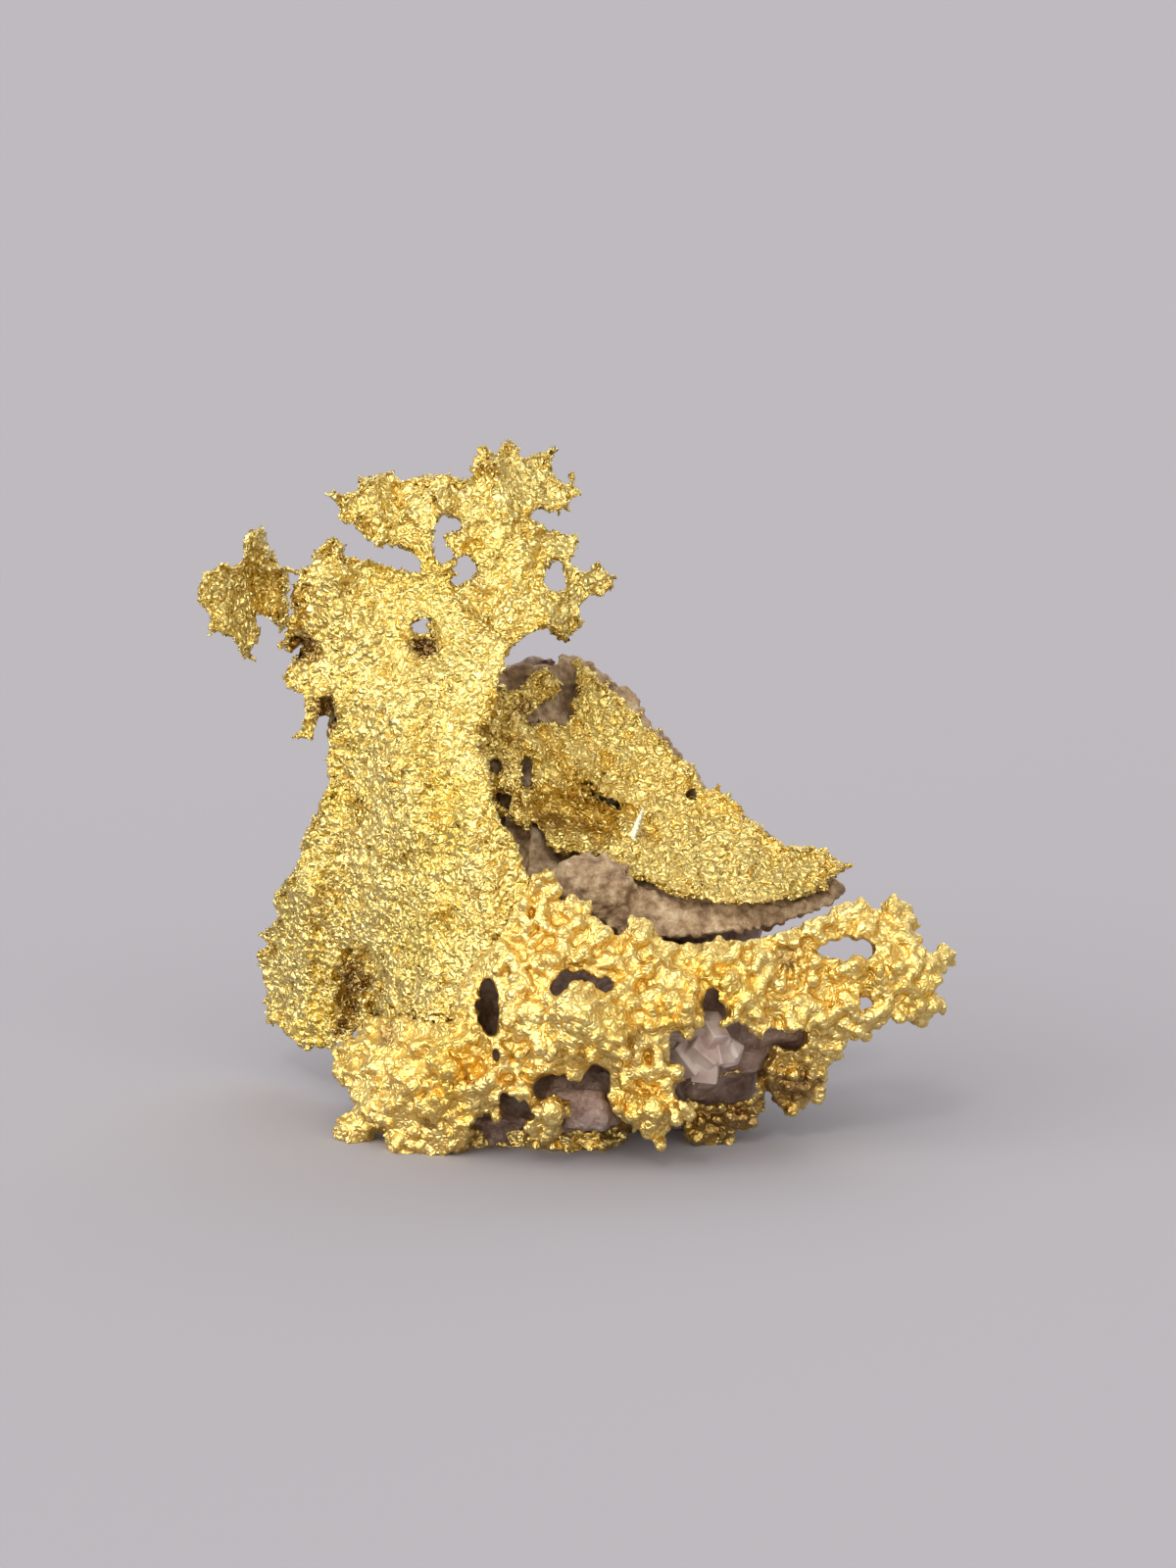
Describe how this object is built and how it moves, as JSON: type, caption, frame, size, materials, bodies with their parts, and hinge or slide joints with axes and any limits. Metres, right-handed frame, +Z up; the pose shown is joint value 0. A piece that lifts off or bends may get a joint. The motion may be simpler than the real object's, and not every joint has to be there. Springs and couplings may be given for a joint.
{
  "type": "leaf gold specimen",
  "caption": "Thumbnail mineral specimen: crystallised leaf gold on brown wall rock, with a tall lacy leaf, a second leaf over a rock plate, a knobbly crust and a side spray.",
  "frame": {"origin": "on the surface that the specimen rests on, under the middle of its bounding box", "axes": "+Z up, +X to the right and +Y away from a viewer who faces the gold leaves"},
  "size_m": [0.0212, 0.0122, 0.0192],
  "materials": {
    "leaf_gold": "bright, finely crinkled native gold",
    "crust_gold": "knobbly crystallised native gold",
    "wall_rock": "rough, mauve-brown, granular",
    "quartz": "milky, pale pinkish grains"
  },
  "bodies": {
    "root": {"main_leaf": "leaf_gold", "crown_right_branch": "leaf_gold", "crown_top_leaf": "leaf_gold", "crown_left_lobe": "leaf_gold", "curled_flap": "leaf_gold", "right_leaf": "leaf_gold", "right_spray": "crust_gold", "crystal_crust": "crust_gold", "scallop_leaf_left": "leaf_gold", "scallop_leaf_right": "leaf_gold", "sole_leaf": "leaf_gold", "rock_plate": "wall_rock", "rock_core": "wall_rock", "quartz_grains": "quartz"}
  },
  "joints": []
}
